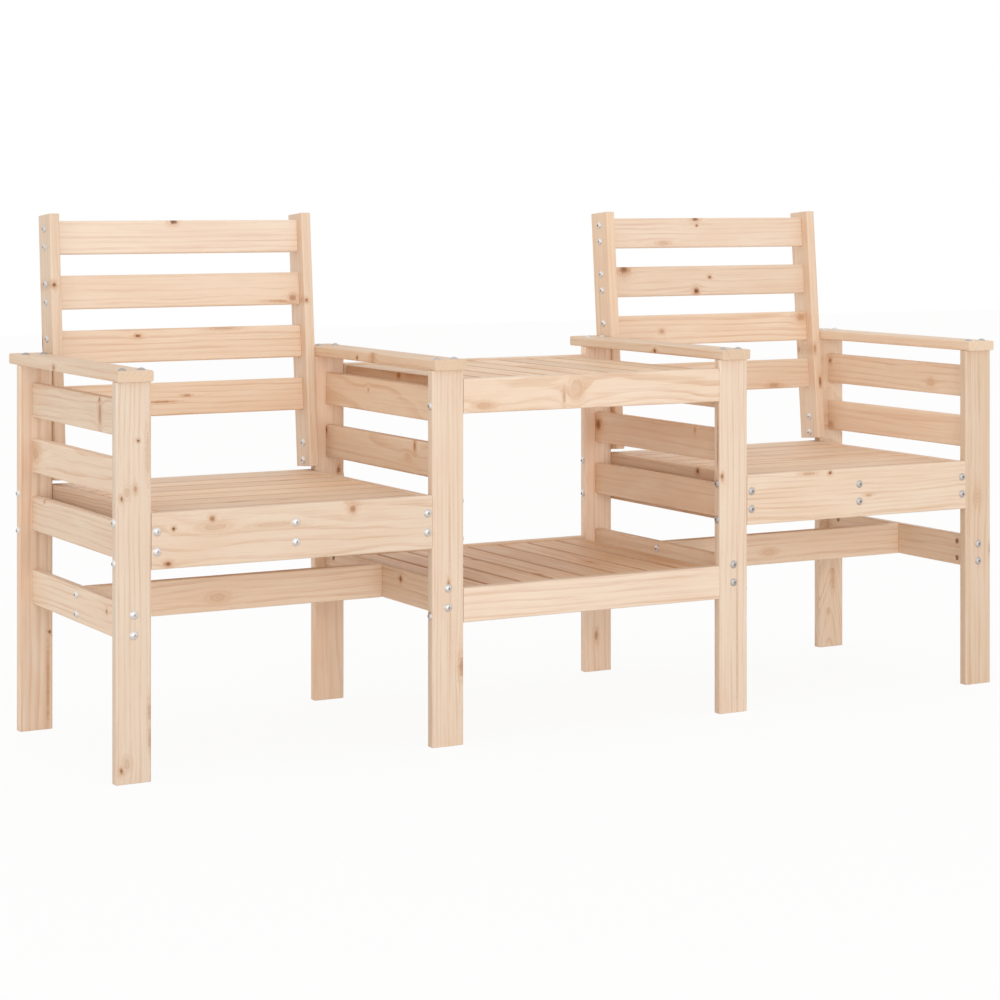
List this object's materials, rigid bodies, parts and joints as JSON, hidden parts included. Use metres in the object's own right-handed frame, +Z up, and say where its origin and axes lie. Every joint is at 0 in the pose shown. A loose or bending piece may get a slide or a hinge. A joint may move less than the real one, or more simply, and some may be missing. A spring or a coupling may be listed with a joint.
{
  "type": "companion seat bench",
  "caption": "Slatted pine garden bench for two: a pair of armchairs joined by a middle table with a lower shelf, bolted together from planed boards.",
  "frame": {"origin": "on the floor under the middle of the bench, seen from above", "axes": "+X to the right as seen from the front, +Y to the back, +Z up"},
  "size_m": [1.7066, 0.5329, 0.8643],
  "materials": {
    "pine_legs": "planed, clear impregnated",
    "pine_armrests": "planed, clear impregnated",
    "pine_sides": "planed, clear impregnated",
    "pine_backrest": "planed, clear impregnated",
    "pine_table": "planed, clear impregnated",
    "pine_shelf": "planed, clear impregnated",
    "pine_seat": "planed, clear impregnated",
    "beech_dowels": "planed, clear impregnated",
    "zinc_bolts": "zinc plated, satin",
    "zinc_screws": "zinc plated, satin"
  },
  "bodies": {
    "root": {"barrel_nuts": "zinc_bolts", "cleat_screws": "zinc_screws", "left_back_slat_1": "pine_backrest", "left_back_slat_2": "pine_backrest", "left_back_slat_3": "pine_backrest", "left_back_slat_4": "pine_backrest", "left_centre_stretcher": "pine_seat", "left_inner_armrest": "pine_armrests", "left_inner_back_post": "pine_backrest", "left_inner_front_leg": "pine_legs", "left_inner_rear_leg": "pine_legs", "left_inner_seat_rail": "pine_seat", "left_inner_side_slats": "pine_sides", "left_inner_side_stretcher": "pine_sides", "left_outer_armrest": "pine_armrests", "left_outer_back_post": "pine_backrest", "left_outer_front_leg": "pine_legs", "left_outer_rear_leg": "pine_legs", "left_outer_seat_rail": "pine_seat", "left_outer_side_slats": "pine_sides", "left_outer_side_stretcher": "pine_sides", "left_seat_front_board": "pine_seat", "left_seat_rear_board": "pine_seat", "left_seat_runner": "pine_seat", "left_seat_slats": "pine_seat", "long_bolts": "zinc_bolts", "right_back_slat_1": "pine_backrest", "right_back_slat_2": "pine_backrest", "right_back_slat_3": "pine_backrest", "right_back_slat_4": "pine_backrest", "right_centre_stretcher": "pine_seat", "right_inner_armrest": "pine_armrests", "right_inner_back_post": "pine_backrest", "right_inner_front_leg": "pine_legs", "right_inner_rear_leg": "pine_legs", "right_inner_seat_rail": "pine_seat", "right_inner_side_slats": "pine_sides", "right_inner_side_stretcher": "pine_sides", "right_outer_armrest": "pine_armrests", "right_outer_back_post": "pine_backrest", "right_outer_front_leg": "pine_legs", "right_outer_rear_leg": "pine_legs", "right_outer_seat_rail": "pine_seat", "right_outer_side_slats": "pine_sides", "right_outer_side_stretcher": "pine_sides", "right_seat_front_board": "pine_seat", "right_seat_rear_board": "pine_seat", "right_seat_runner": "pine_seat", "right_seat_slats": "pine_seat", "seat_cleats": "pine_seat", "shelf_cleats": "pine_shelf", "shelf_front_apron": "pine_shelf", "shelf_rear_apron": "pine_shelf", "shelf_slats": "pine_shelf", "short_bolts": "zinc_bolts", "table_cleats": "pine_table", "table_front_apron": "pine_table", "table_rear_apron": "pine_table", "table_slats": "pine_table", "wooden_dowels": "beech_dowels"}
  },
  "joints": []
}
